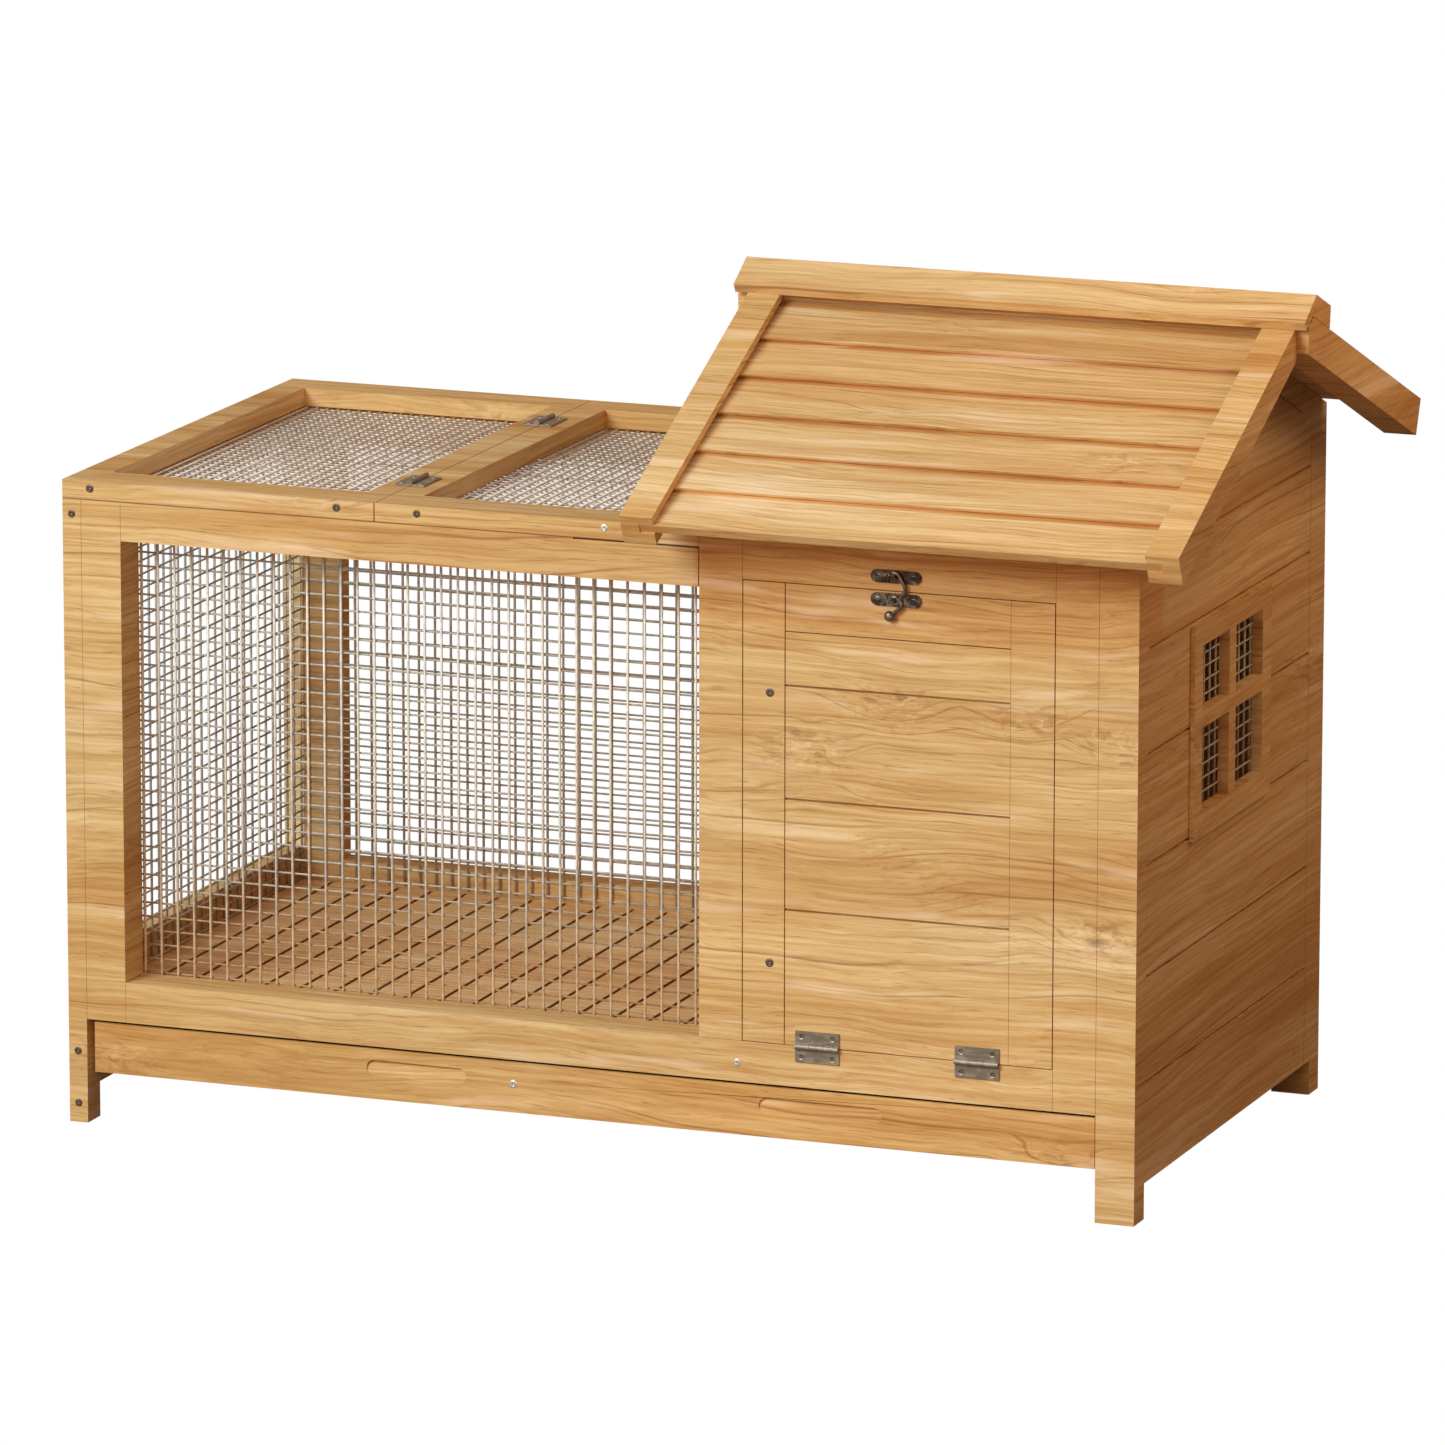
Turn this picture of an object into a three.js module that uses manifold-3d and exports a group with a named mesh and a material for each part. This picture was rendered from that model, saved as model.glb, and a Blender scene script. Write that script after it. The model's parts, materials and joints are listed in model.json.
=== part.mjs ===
// A small wooden rabbit hutch: a wire-sided run on the left, a roofed house on the right,
// and one shallow droppings tray that slides out from under both.
// Millimetres. +X to the right, +Y to the back, +Z up. The working frame starts at the
// bottom of the front left leg; the exported group is centred over its footprint.
import * as THREE from "three";
import { mergeVertices } from "three/addons/utils/BufferGeometryUtils.js";
import Module from "manifold-3d";

const wasm = await Module();
wasm.setup();

// Driving dimensions
const WIDTH = 900; // over the two side panels
const DEPTH = 462; // front face to back face
const RUN_HEIGHT = 524.2; // ground to the top of the run
const SIDE_T = 15.8; // thickness of the side panels
const FRONT_T = 35; // thickness of the front timbers
const BACK_T = 24; // thickness of the back timbers
const TOP_T = 14.9; // thickness of the lid and the fixed top panel
const LEG_Y = 24; // depth of a leg
const STILE_W = 34; // face width of a stile or post
const STILE_Y = 38; // face width of the right wall's rear stile
const GABLE_RAIL = 22; // width of the sloping rail marked under the rear roof
const RAIL_SEAM = 2; // width and depth of the groove that marks it
const GABLE_SEAM = [95, 200]; // that groove's ends, up the slope from the rear eave
const SKIRT_Z = 28.6; // underside of the side panels, above the ground
const TRAY_Z = [42.8, 83.5]; // bottom and top of the tray's front board
const TRAY_CLEAR = 6.8; // left of the tray, beside the leg
const RUNNER_T = 7; // thickness of the frame the tray slides on
const RUNNER_W = { left: 24, right: 42, back: 18 }; // widths of its three strips
const RAIL_Z = [85.6, 118.4]; // bottom and top of the front bottom rail
const TOP_RAIL_Z = 477.6; // underside of the run's top rails
const HOUSE_X = 540.1; // left face of the house
const DOOR_X = [575.8, 832.8]; // the door's opening between its post and its jamb
const DOOR_TOP_Z = 486.7; // underside of the door header
const DOOR = { inner: [611.8, 796.2], railZ: 448.5, seams: [405.3, 315.4, 227] };
const JAMB_X = 868; // right edge of the jamb, where the right leg starts
const RAIL_DIP = { x: 435, depth: 1.2 }; // where the front top rail is planed low
const FLOOR_Z = 105; // top of the slatted floor
const FLOOR_T = 8;
const FLOOR_SLAT = { width: 26.5, pitch: 30, bearer: 20 };
const DOORWAY = { halfWidth: 75, sill: 12, straight: 150 }; // in the partition, above the floor
const SIDE_RAIL_TOP = 133; // top of the left bottom rail
const BACK_RAIL_TOP = 123;
const GAP = 0.3; // between pieces that touch
const SEAM = 0.9; // joints that show as a dark line
const DOOR_GAP = 0.9; // round the door
const GROOVE = { width: 1.8, depth: 4 }; // a board joint in the door
const WALL_GROOVE = { width: 2.4, depth: 4 }; // a board joint in the gable or the back wall
const BOARD_Z = [109, 193, 281, 369, 451.5, 522]; // heights of the walls' joints

// Roof
const FRONT_PITCH = THREE.MathUtils.degToRad(24.66);
const REAR_PITCH = THREE.MathUtils.degToRad(22.0);
const EAVE = new THREE.Vector2(-77.2, 545.7); // y, z of the front rafters' top at the eave
const REAR_EAVE = new THREE.Vector2(500.7, 566.8); // the same at the back
const ROOF_X = [503.8, 957]; // outer faces of the front rafters
const REAR_ROOF_X = [493.6, 966.5]; // outer faces of the rear rafters and the ridge boards
const RAFTER_W = 27;
const RAFTER_D = { front: 25, rear: 30 };
const SLAT_T = 7.5;
const SLAT_DROP = 7; // slats' top below the rafters' top
const SLAT_COUNT = 6;
const SLAT_STEP = 51.3;
const SLAT_FALL = 3.5; // face thickness lost from a slat's lower edge to its upper one
const SLAT_LAP = 8;
const LAP_GAP = 0.7; // between a slat's lip and the tongue under it
const UNDERCUT = 1.4; // how far a slat's lower edge leans back under itself
const TOP_SLAT_END = 315; // the top slat's upper edge, up the slope from the eave
const REAR_SLATS = { count: 5, start: 47, end: 303 };
const GROOVE_IN = 15; // outer part of a rafter left beside the slats' ends
const WALL_DROP = SLAT_DROP + SLAT_T + 2 * GAP; // wall tops below the rafters' top
const RIDGE = new THREE.Vector2(224.7, 697.5); // y, z of the ridge
const RIDGE_FRONT = { width: 34.1, t: 8, pitch: THREE.MathUtils.degToRad(30.8) };
const RIDGE_REAR = { width: 39.2 };

// Welded wire, drawn as a lattice with every fourth wire
const WIRE_T = 2.2;
const CELL = { x: 57.7, z: 45.7 };

// Run top
const LID_X = 266.9; // right edge of the lid
const PANEL_X = [267.9, 539.8]; // the fixed top panel
const TOP_RAIL_W = { side: 26, front: 40, back: 35, seam: 21 };

// Window in the right wall
const WINDOW = { y: [124, 314], z: [278, 449], t: 9, proud: 4 };
const PANES = { y: [[143.5, 209], [225.5, 292]], z: [[299, 365.2], [378.4, 430.7]] };
const WINDOW_EDGE = 7; // frame's flange over the wall

// Finger scoops in the tray's front board
const SCOOP = { x: [[258, 343], [590, 692]], z: 68.1, height: 12.4, reach: 12, lean: 0.22 };

// The tray's board: how far its top leans and its flat edge; the pan behind it
const TRAY = { lean: 7, edge: 3, drop: 8, wall: 4, backClear: 12, rightClear: 6 };

// Hinges and latch
const HINGE = { length: 36.2, leaf: 12.5, t: 1.2, barrel: 2.2, pin: 1, bore: 1.35 };
const HINGE_LIFT = GAP + HINGE.barrel; // axis above the face it is screwed to
const DOOR_HINGE_X = [639, 771];
const LID_HINGE_Y = [90, 358];
const LATCH_X = 702.8; // middle of both latch plates
const LATCH_PLATE = { length: 41.4, width: 10.2, t: 1.4 };
const LATCH_Z = { pivot: 479.7, stud: 497.9 };
const LATCH_PIN_R = 1.5;
const LATCH_PIN = { stud: 7, pivot: 6.2 }; // how far each pin stands out
const LATCH_BORE_R = 1.85;
const LATCH_T = 3;
const HOOK = {
  line: [[-3.5, -11.5], [-2.2, -6], [0, 0], [3.6, 8], [5, 14], [4.6, 19.5], [1.2, 23], [-2.5, 22.6]],
  width: 3.8,
  bossR: 4.2,
  knob: [-3.8, -12.4], // x, z from the pivot, as the line above
  knobR: 3.9,
};

// Colours
const PINE = new THREE.MeshStandardMaterial({ color: 0xd9ad72, roughness: 0.65, metalness: 0 });
const DARK_PINE = new THREE.MeshStandardMaterial({ color: 0xa9713f, roughness: 0.7, metalness: 0 });
const WIRE = new THREE.MeshStandardMaterial({ color: 0xaaa498, roughness: 0.45, metalness: 0.8 });
const STEEL = new THREE.MeshStandardMaterial({ color: 0x968a80, roughness: 0.4, metalness: 0.9 });
const BRONZE = new THREE.MeshStandardMaterial({ color: 0x40352c, roughness: 0.45, metalness: 0.7 });
const TRAY_SHEET = new THREE.MeshStandardMaterial({ color: 0xb08a5c, roughness: 0.7, metalness: 0 });

const hutch = new THREE.Group();

// Geometry helpers

// A mesh for one named piece, added to the hutch.
function addPiece(name, geometry, material) {
  const piece = new THREE.Mesh(geometry, material);
  piece.name = name;
  hutch.add(piece);
  return piece;
}

// A box from its limits on the three axes.
function boxGeometry([x0, x1], [y0, y1], [z0, z1]) {
  const box = new THREE.BoxGeometry(x1 - x0, y1 - y0, z1 - z0);
  return box.translate((x0 + x1) / 2, (y0 + y1) / 2, (z0 + z1) / 2);
}

function addBox(name, x, y, z, material = PINE) {
  return addPiece(name, boxGeometry(x, y, z), material);
}

// A rectangle's outline, anticlockwise.
function rectangle([a0, a1], [b0, b1]) {
  return [[a0, b0], [a1, b0], [a1, b1], [a0, b1]].map(([a, b]) => new THREE.Vector2(a, b));
}

// A flat outline with holes, extruded by depth along its own normal.
function extrude(outline, holes, depth) {
  const shape = new THREE.Shape(outline);
  shape.holes = holes.map((hole) => new THREE.Path(hole));
  return new THREE.ExtrudeGeometry(shape, { depth, bevelEnabled: false, curveSegments: 8 });
}

// The outline lies in Y and Z and runs along X.
function alongX(outline, [x0, x1], holes = []) {
  const y = new THREE.Vector3(0, 1, 0);
  const z = new THREE.Vector3(0, 0, 1);
  const turn = new THREE.Matrix4().makeBasis(y, z, new THREE.Vector3(1, 0, 0));
  return extrude(outline, holes, x1 - x0).applyMatrix4(turn).translate(x0, 0, 0);
}

// The outline lies in X and Z and runs along Y.
function alongY(outline, [y0, y1], holes = []) {
  return extrude(outline, holes, y1 - y0).rotateX(Math.PI / 2).translate(0, y1, 0);
}

// The outline lies in X and Y and runs along Z.
function alongZ(outline, [z0, z1], holes = []) {
  return extrude(outline, holes, z1 - z0).translate(0, 0, z0);
}

// Booleans
function solid(geometry) {
  const bare = geometry.clone();
  bare.deleteAttribute("normal");
  bare.deleteAttribute("uv");
  const merged = mergeVertices(bare, 1e-4);
  return new wasm.Manifold(
    new wasm.Mesh({
      numProp: 3,
      vertProperties: merged.attributes.position.array,
      triVerts: new Uint32Array(merged.index.array),
    }),
  );
}

function geometryOf(made) {
  const mesh = made.getMesh();
  const geometry = new THREE.BufferGeometry();
  geometry.setAttribute("position", new THREE.BufferAttribute(mesh.vertProperties, 3));
  geometry.setIndex(new THREE.BufferAttribute(mesh.triVerts, 1));
  geometry.computeVertexNormals();
  return geometry;
}

function join(...geometries) {
  return geometryOf(geometries.map(solid).reduce((a, b) => a.add(b)));
}

function cut(geometry, ...tools) {
  return geometryOf(tools.map(solid).reduce((a, b) => a.subtract(b), solid(geometry)));
}

// A round bar along X, Y or Z between two places on that axis.
function bar(axis, radius, from, to, sides = 16) {
  const round = new THREE.CylinderGeometry(radius, radius, to - from, sides);
  if (axis === "x") round.rotateZ(Math.PI / 2);
  if (axis === "z") round.rotateX(Math.PI / 2);
  const middle = { x: 0, y: 0, z: 0, [axis]: (from + to) / 2 };
  return round.translate(middle.x, middle.y, middle.z);
}

// Roof lines in the Y-Z plane

// A sloping line through a point, pitch upwards towards +Y or, for the rear, towards -Y.
function slope(point, pitch, side) {
  const along = new THREE.Vector2(side * Math.cos(pitch), Math.sin(pitch));
  const out = new THREE.Vector2(-side * Math.sin(pitch), Math.cos(pitch));
  return { point, along, out };
}

// The point at a distance up the slope and a depth under it.
function on(line, distance, depth) {
  return line.point.clone().addScaledVector(line.along, distance).addScaledVector(line.out, -depth);
}

// The height of a slope at one y, at a depth under it.
function heightAt(line, y, depth) {
  const start = on(line, 0, depth);
  return start.y + ((y - start.x) * line.along.y) / line.along.x;
}

// The outline of a wall's groove at one height, with the face's own axis first.
function grooveOutline(face, z) {
  const half = WALL_GROOVE.width / 2;
  return rectangle([face - WALL_GROOVE.depth, face + 1], [z - half, z + half]);
}

// Where two slopes cross, each at a depth under its own line.
function meet(a, depthA, b, depthB) {
  const p = on(a, 0, depthA);
  const q = on(b, 0, depthB);
  const reach = q.clone().sub(p).cross(b.along) / a.along.cross(b.along);
  return p.addScaledVector(a.along, reach);
}

const frontSlope = slope(EAVE, FRONT_PITCH, 1);
const rearSlope = slope(REAR_EAVE, REAR_PITCH, -1);
const apex = meet(frontSlope, 0, rearSlope, 0);
const splitY = apex.x - 12; // where front and rear rafters meet
const frontTop = (y) => heightAt(frontSlope, y, WALL_DROP);
const rearTop = (y) => heightAt(rearSlope, y, WALL_DROP);

// A post's outline in Y and Z, with its top cut to the roof.
function roofedPost([y0, y1], z0, top) {
  const corners = [[y0, z0], [y1, z0], [y1, top(y1)], [y0, top(y0)]];
  return corners.map(([y, z]) => new THREE.Vector2(y, z));
}

// Wire panels

// Where the wires lie between two limits, as pairs of places.
function wires([from, to], cell) {
  const count = Math.round((to - from) / cell);
  const step = (to - from - WIRE_T) / count;
  return Array.from({ length: count + 1 }, (_, i) => [from + i * step, from + i * step + WIRE_T]);
}

// A flat lattice normal to one axis; a and b are its limits on the two other axes, in order.
// The level wires lie behind the upright ones and bite into them a little, as welded wire does.
function addWire(name, normal, a, b, place, cells = CELL) {
  const block = {
    x: (u, v, w) => boxGeometry(w, u, v),
    y: (u, v, w) => boxGeometry(u, w, v),
    z: (u, v, w) => boxGeometry(u, v, w),
  }[normal];
  const near = [place, place + 0.6 * WIRE_T];
  const far = [place + 0.4 * WIRE_T, place + WIRE_T];
  const upright = wires(a, cells.x).map((u) => block(u, b, near));
  const level = wires([b[0] + 1, b[1] - 1], cells.z).map((v) => block([a[0] + 1, a[1] - 1], v, far));
  return addPiece(name, join(...upright, ...level), WIRE);
}

// Run: left side, front and back

function addLeftSide() {
  const x = [0, SIDE_T];
  const between = [LEG_Y + GAP, DEPTH - LEG_Y - GAP];
  const top = RUN_HEIGHT - TOP_T - GAP;
  addBox("left_front_leg", x, [0, LEG_Y], [0, top]);
  addBox("left_rear_leg", x, [DEPTH - LEG_Y, DEPTH], [0, top]);
  addBox("left_bottom_rail", x, between, [SKIRT_Z, SIDE_RAIL_TOP]);
  addBox("left_top_rail", x, between, [TOP_RAIL_Z, top]);
  const wireY = [FRONT_T + 3, DEPTH - BACK_T - 3];
  addWire("left_side_mesh", "x", wireY, [FLOOR_Z + 2, top - 12], SIDE_T + GAP);
}

function addFront() {
  const y = [0, FRONT_T];
  const stileX = SIDE_T + STILE_W;
  const top = RUN_HEIGHT - TOP_T - GAP;
  addBox("front_left_stile", [SIDE_T + GAP, stileX], y, [RAIL_Z[0], top]);
  const rail = boxGeometry([stileX + GAP, HOUSE_X - SEAM], y, [TOP_RAIL_Z, top]);
  const dip = boxGeometry([RAIL_DIP.x, HOUSE_X], [-1, FRONT_T + 1], [top - RAIL_DIP.depth, top + 1]);
  addPiece("front_top_rail", cut(rail, dip), PINE);
  addBox("front_bottom_rail", [stileX + GAP, DOOR_X[1] - GAP], y, RAIL_Z);
  const wireX = [SIDE_T + 6, HOUSE_X - GAP - 1];
  addWire("front_mesh", "y", wireX, [FLOOR_Z + 2, top - 12], FRONT_T + GAP);
}

function addBack() {
  const y = [DEPTH - BACK_T, DEPTH];
  const stileX = SIDE_T + STILE_W;
  const top = RUN_HEIGHT - TOP_T - GAP;
  const railTop = BACK_RAIL_TOP;
  addBox("back_bottom_rail", [SIDE_T + GAP, JAMB_X - GAP], y, [TRAY_Z[0], railTop]);
  addBox("back_left_post", [SIDE_T + GAP, stileX], y, [railTop + GAP, top]);
  addBox("back_top_rail", [stileX + GAP, HOUSE_X - GAP], y, [TOP_RAIL_Z, top]);
  const wireX = [SIDE_T + 6, HOUSE_X - GAP - 1];
  const wireY = DEPTH - BACK_T - GAP - WIRE_T;
  addWire("back_mesh", "y", wireX, [FLOOR_Z + 2, top - 12], wireY);
  const post = roofedPost(y, railTop + GAP, rearTop);
  addPiece("house_back_post", alongX(post, [HOUSE_X, DOOR_X[0]]), PINE);
  addBackWall(railTop + GAP);
}

// The back wall's boards meet in grooves on the outside.
function addBackWall(z0) {
  const wallY = [DEPTH - SIDE_T, DEPTH];
  const x = [DOOR_X[0] + GAP, JAMB_X - GAP];
  const wall = alongX(roofedPost(wallY, z0, rearTop), x);
  const grooves = BOARD_Z.slice(1).map((z) => alongX(grooveOutline(DEPTH, z), [x[0] - 1, x[1] + 1]));
  addPiece("back_wall_boards", cut(wall, ...grooves), PINE);
}

// Run top: a hinged lid and a fixed panel

function addTopFrame(name, x, inner) {
  const y = [0, DEPTH];
  const opening = [TOP_RAIL_W.front, DEPTH - TOP_RAIL_W.back];
  const z = [RUN_HEIGHT - TOP_T, RUN_HEIGHT];
  const frame = alongZ(rectangle(x, y), z, [rectangle(inner, opening)]);
  addPiece(`${name}_frame`, frame, PINE);
  const wireY = [TOP_RAIL_W.front - 2, DEPTH - TOP_RAIL_W.back + 2];
  const wireX = [inner[0] - 8, inner[1] + 8];
  const under = RUN_HEIGHT - TOP_T - GAP - WIRE_T;
  const squares = { x: CELL.x, z: CELL.x };
  addWire(`${name}_mesh`, "z", wireX, wireY, under, squares);
}

function addRunTop() {
  addTopFrame("run_lid", [0, LID_X], [TOP_RAIL_W.side, LID_X - TOP_RAIL_W.seam]);
  const seamRail = PANEL_X[0] + TOP_RAIL_W.side - 1;
  addTopFrame("top_panel", PANEL_X, [seamRail, PANEL_X[1] - STILE_W]);
}

// House: walls, floor and partition

function addHouseFront() {
  const y = [0, FRONT_T];
  const postTop = (z0) => roofedPost(y, z0, frontTop);
  const postX = [HOUSE_X, DOOR_X[0]];
  addPiece("house_front_post", alongX(postTop(RAIL_Z[1] + GAP), postX), PINE);
  const headerX = [DOOR_X[0] + GAP, DOOR_X[1] - GAP];
  addPiece("door_header", alongX(postTop(DOOR_TOP_Z), headerX), PINE);
  addPiece("door_jamb", alongX(postTop(RAIL_Z[0]), [DOOR_X[1], JAMB_X - GAP]), PINE);
  const leg = roofedPost([0, LEG_Y], 0, frontTop);
  addPiece("right_front_leg", alongX(leg, [JAMB_X, WIDTH]), PINE);
}

// The rear leg, with the wall's last stile joined to its front.
function addRightRearLeg() {
  const y = [DEPTH - LEG_Y, DEPTH];
  const leg = alongX(roofedPost(y, 0, rearTop), [JAMB_X, WIDTH]);
  const stile = roofedPost([DEPTH - STILE_Y, y[0] + 1], SKIRT_Z, rearTop);
  addPiece("right_rear_leg", join(leg, alongX(stile, [WIDTH - SIDE_T, WIDTH])), PINE);
}

// The gable follows both slopes and holds the window.
function addGable() {
  const y = [LEG_Y + GAP, DEPTH - STILE_Y - SEAM];
  const peak = meet(frontSlope, WALL_DROP, rearSlope, WALL_DROP);
  const outline = [
    new THREE.Vector2(y[0], SKIRT_Z),
    new THREE.Vector2(y[1], SKIRT_Z),
    new THREE.Vector2(y[1], rearTop(y[1])),
    peak,
    new THREE.Vector2(y[0], frontTop(y[0])),
  ];
  const x = [WIDTH - SIDE_T, WIDTH];
  const grooves = BOARD_Z.map((z) => alongY(grooveOutline(WIDTH, z), [0, DEPTH]));
  const rail = rectangle(GABLE_SEAM, [0, RAIL_SEAM]).map((corner) => [corner.x, corner.y]);
  const railSeam = alongX(
    rail.map(([up, over]) => on(rearSlope, up, WALL_DROP + GABLE_RAIL - over)),
    [WIDTH - RAIL_SEAM, WIDTH + 1],
  );
  const opening = boxGeometry(
    [x[0] - 1, x[1] + 1],
    [WINDOW.y[0] + WINDOW_EDGE, WINDOW.y[1] - WINDOW_EDGE],
    [WINDOW.z[0] + WINDOW_EDGE, WINDOW.z[1] - WINDOW_EDGE],
  );
  addPiece("right_gable_wall", cut(alongX(outline, x), opening, railSeam, ...grooves), PINE);
}

// A rebated frame with four panes, and the wire behind it.
function addWindow() {
  const face = [WIDTH + GAP, WIDTH + WINDOW.proud];
  const flange = boxGeometry(face, WINDOW.y, WINDOW.z);
  const inset = WINDOW_EDGE + GAP;
  const y = [WINDOW.y[0] + inset, WINDOW.y[1] - inset];
  const z = [WINDOW.z[0] + inset, WINDOW.z[1] - inset];
  const back = face[1] - WINDOW.t;
  const body = boxGeometry([back, face[0] + 1], y, z);
  const panes = PANES.y.flatMap((py) =>
    PANES.z.map((pz) => boxGeometry([back - 1, face[1] + 1], py, pz)),
  );
  addPiece("window_frame", cut(join(flange, body), ...panes), PINE);
  const cells = { x: 29, z: 29 };
  addWire("window_mesh", "x", y, z, back - GAP - WIRE_T, cells);
}

// A thin wall from front to back with an arched doorway between run and house.
function addPartition() {
  const y = [FRONT_T + WIRE_T + 2 * GAP, DEPTH - BACK_T - WIRE_T - 2 * GAP];
  const peak = meet(frontSlope, WALL_DROP, rearSlope, WALL_DROP);
  const outline = [
    new THREE.Vector2(y[0], FLOOR_Z + GAP),
    new THREE.Vector2(y[1], FLOOR_Z + GAP),
    new THREE.Vector2(y[1], rearTop(y[1])),
    peak,
    new THREE.Vector2(y[0], frontTop(y[0])),
  ];
  const middle = DEPTH / 2;
  const { halfWidth, sill, straight } = DOORWAY;
  const spring = FLOOR_Z + straight;
  const arch = new THREE.Path();
  arch.moveTo(middle - halfWidth, FLOOR_Z + sill);
  arch.lineTo(middle + halfWidth, FLOOR_Z + sill);
  arch.absarc(middle, spring, halfWidth, 0, Math.PI, false);
  const hole = arch.getPoints(8);
  const wall = alongX(outline, [HOUSE_X + GAP, HOUSE_X + 10], [hole]);
  addPiece("partition_wall", wall, PINE);
}

// Slats run front to back on three bearers, over the tray.
function addFloor() {
  const { width, pitch, bearer } = FLOOR_SLAT;
  const x = [SIDE_T + 3 * GAP, WIDTH - SIDE_T - GAP];
  const y = [FRONT_T + WIRE_T + 3 * GAP, DEPTH - BACK_T - WIRE_T - 3 * GAP];
  const under = FLOOR_Z - FLOOR_T;
  const count = Math.floor((x[1] - x[0] + pitch - width) / pitch);
  const slack = (x[1] - x[0] - (count - 1) * pitch - width) / 2;
  const pieces = [];
  for (let i = 0; i < count; i += 1) {
    const left = x[0] + slack + i * pitch;
    pieces.push(boxGeometry([left, left + width], y, [under, FLOOR_Z]));
  }
  for (const middle of [y[0] + bearer, DEPTH / 2, y[1] - bearer]) {
    const across = [middle - bearer / 2, middle + bearer / 2];
    pieces.push(boxGeometry(x, across, [TRAY_Z[1] + 3, under + 0.5]));
  }
  addPiece("slatted_floor", join(...pieces), DARK_PINE);
}

// Roof

// The rafter's section is grooved on its inner side for the slats' ends.
function rafterSection(side, depth) {
  const lipTop = SLAT_DROP - GAP;
  const lipBottom = SLAT_DROP + SLAT_T + GAP;
  const corners = [
    [0, 0],
    [RAFTER_W, 0],
    [RAFTER_W, lipTop],
    [GROOVE_IN, lipTop],
    [GROOVE_IN, lipBottom],
    [RAFTER_W, lipBottom],
    [RAFTER_W, depth],
    [0, depth],
  ];
  const outline = corners.map(([across, down]) => new THREE.Vector2(side * across, -down));
  return side > 0 ? outline.reverse() : outline;
}

// Sweeps a section along a roof slope and trims it by a plane across Y.
function rafter(line, section, x, trim) {
  const length = 340;
  const beam = extrude(section, [], length);
  const across = new THREE.Vector3(1, 0, 0);
  const out = new THREE.Vector3(0, line.out.x, line.out.y);
  const along = across.clone().cross(out);
  const turn = new THREE.Matrix4().makeBasis(across, out, along);
  const forward = Math.sign(along.y) === Math.sign(line.along.x);
  if (!forward) beam.translate(0, 0, -length);
  beam.applyMatrix4(turn).translate(x, line.point.x, line.point.y);
  return cut(beam, trim);
}

function addRafters() {
  const beyond = boxGeometry([0, 2 * WIDTH], [splitY - GAP, 2 * DEPTH], [0, 2 * RUN_HEIGHT]);
  const before = boxGeometry([0, 2 * WIDTH], [-DEPTH, splitY], [0, 2 * RUN_HEIGHT]);
  const overFront = alongX(
    [on(frontSlope, 0, 0), on(frontSlope, 0, -60), on(frontSlope, 400, -60), on(frontSlope, 400, 0)],
    [0, 2 * WIDTH],
  );
  const sides = [["left", 1, 0], ["right", -1, 1]];
  for (const [name, side, i] of sides) {
    const section = (depth) => rafterSection(side, depth);
    const front = rafter(frontSlope, section(RAFTER_D.front), ROOF_X[i], beyond);
    addPiece(`front_rafter_${name}`, front, PINE);
    const trim = join(before, overFront);
    const rear = rafter(rearSlope, section(RAFTER_D.rear), REAR_ROOF_X[i], trim);
    addPiece(`rear_rafter_${name}`, rear, PINE);
  }
}

// One rebated slat: its lower edge laps over the tongue of the slat below.
function slatOutline(index) {
  const low = index * SLAT_STEP;
  const last = index === SLAT_COUNT - 1;
  const high = last ? TOP_SLAT_END : low + SLAT_STEP + SLAT_LAP;
  const under = SLAT_DROP + SLAT_T;
  const lip = SLAT_DROP + SLAT_FALL;
  const tongue = lip + LAP_GAP;
  const edge = low + UNDERCUT;
  const rebate = low + SLAT_LAP + GAP;
  const lapped = [[edge, lip], [rebate, lip], [rebate, under]];
  const lower = index === 0 ? [[edge, under]] : lapped;
  const upper = last ? [[high, tongue]] : [[high, tongue], [low + SLAT_STEP, tongue]];
  const corners = [...lower, [high, under], ...upper, [low, SLAT_DROP]];
  return corners.map(([up, down]) => on(frontSlope, up, down));
}

// The top slat stops between the rear rafters, which reach over the ridge.
function addFrontSlats() {
  const x = [ROOF_X[0] + GROOVE_IN + GAP, ROOF_X[1] - GROOVE_IN - GAP];
  const between = [REAR_ROOF_X[0] + RAFTER_W + GAP, REAR_ROOF_X[1] - RAFTER_W - GAP];
  for (let i = 0; i < SLAT_COUNT; i += 1) {
    const reach = i === SLAT_COUNT - 1 ? between : x;
    addPiece(`front_roof_slat_${i + 1}`, alongX(slatOutline(i), reach), PINE);
  }
}

// The rear slope is boarded in one panel with the same lapped face.
function addRearBoards() {
  const x = [REAR_ROOF_X[0] + GROOVE_IN + GAP, REAR_ROOF_X[1] - GROOVE_IN - GAP];
  const { count, start, end } = REAR_SLATS;
  const step = (end - start) / count;
  const face = [];
  for (let i = 0; i < count; i += 1) {
    const low = start + i * step;
    face.push(on(rearSlope, low, SLAT_DROP));
    face.push(on(rearSlope, low + step, SLAT_DROP + SLAT_FALL));
  }
  const under = SLAT_DROP + SLAT_T;
  const outline = [...face, on(rearSlope, end, under), on(rearSlope, start, under)];
  addPiece("rear_roof_boards", alongX(outline, x), PINE);
}

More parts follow.
